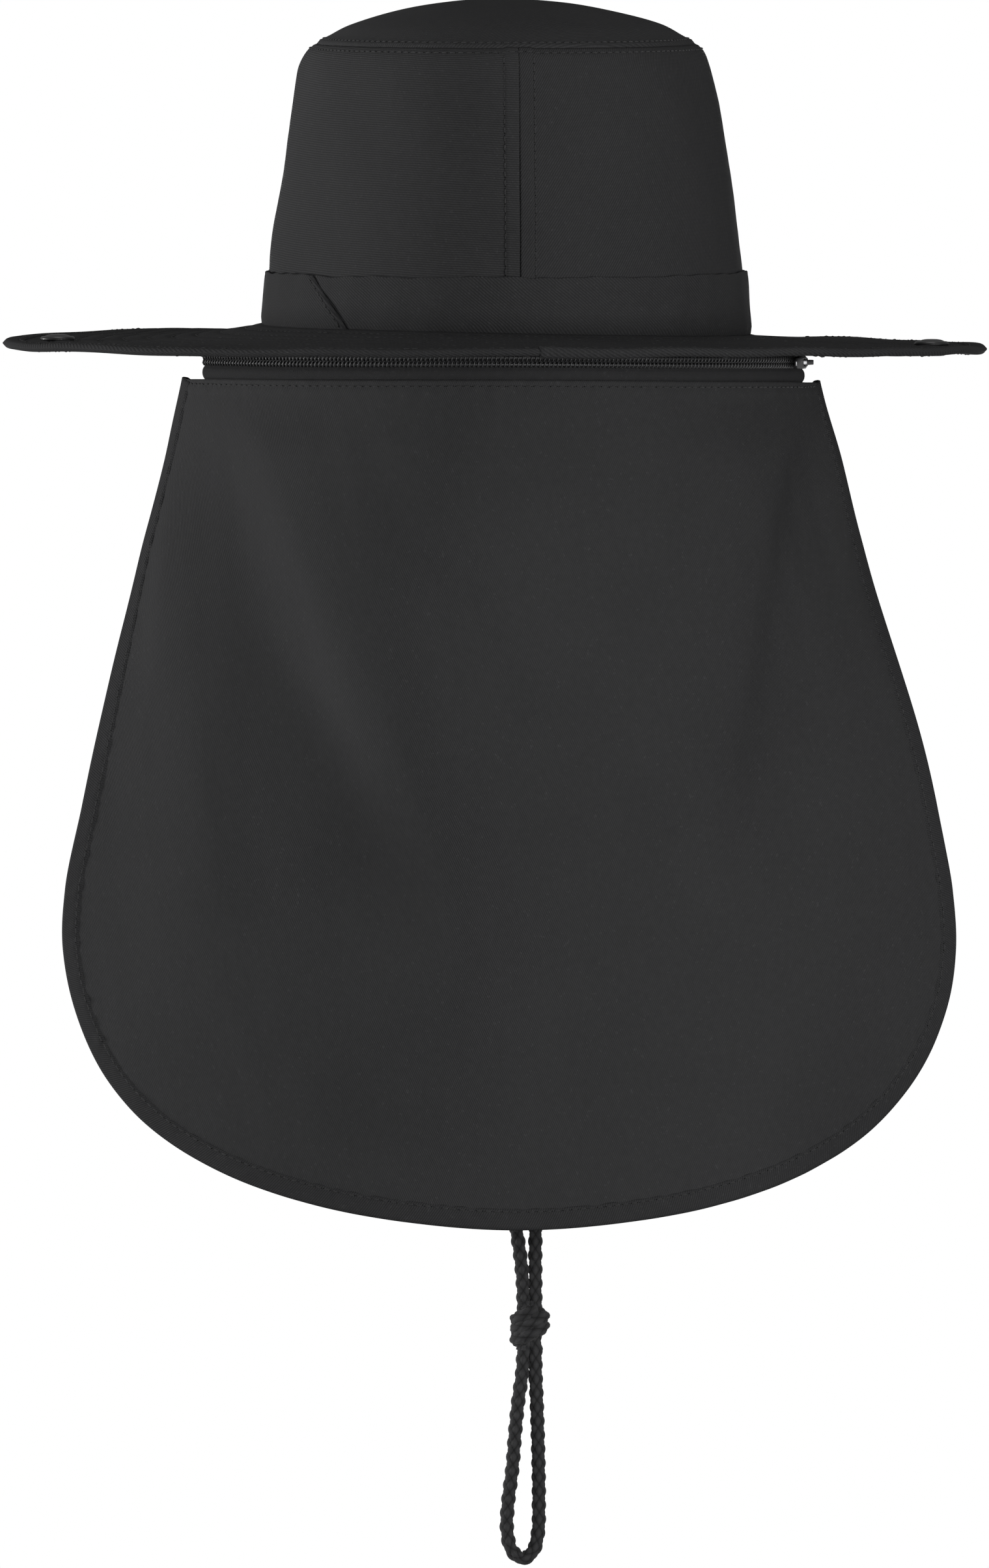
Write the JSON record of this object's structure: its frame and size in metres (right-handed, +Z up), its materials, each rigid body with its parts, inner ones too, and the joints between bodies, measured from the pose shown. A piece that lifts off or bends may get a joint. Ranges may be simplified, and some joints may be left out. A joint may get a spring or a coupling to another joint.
{
  "type": "bush hat with a zip-on neck flap and chin cord",
  "caption": "Wide-brimmed cloth bush hat with a neck flap zipped under the brim at the back, press snaps on the brim and a braided chin cord with a knotted loop.",
  "frame": {"origin": "middle of the head opening, level with the seam of crown and brim at the back, where the head carries the hat", "axes": "+Z up, +Y the way the wearer faces, +X the wearer's right; the neck flap hangs at -Y"},
  "size_m": [0.3642, 0.3758, 0.5787],
  "materials": {
    "crown_cloth": "charcoal cotton twill",
    "brim_cloth": "charcoal cotton twill, stitched in rings",
    "band_cloth": "charcoal cotton twill cut on the bias",
    "flap_cloth": "charcoal cotton twill, soft folds",
    "binding_tape": "folded twill tape",
    "zip_tape": "woven zip tape",
    "zip_nylon": "satin nylon coil",
    "zip_metal": "black enamel, worn a little bright",
    "snap_enamel": "satin black enamel",
    "cord_braid": "round braid"
  },
  "bodies": {
    "hat": {"crown_tip": "crown_cloth", "crown_side_left": "crown_cloth", "crown_side_right": "crown_cloth", "hat_band": "band_cloth", "brim": "brim_cloth", "brim_binding": "binding_tape", "snap_left": "snap_enamel", "snap_right": "snap_enamel", "zip_tape_upper": "zip_tape", "zip_coil": "zip_nylon", "zip_tape_lower": "zip_tape", "zip_slider": "zip_metal", "neck_flap": "flap_cloth", "flap_binding": "binding_tape", "chin_cord_left": "cord_braid", "chin_cord_right": "cord_braid", "chin_knot": "cord_braid", "chin_cord_loop": "cord_braid"},
    "pull": {"zip_pull": "zip_metal"}
  },
  "joints": [
    {"name": "zip_pull_swing", "type": "hinge", "parent": "hat", "child": "pull", "pos_m": [0.107, -0.06539, -0.01182], "axis": [0, 0, 1], "range_deg": [-8, 164]}
  ]
}
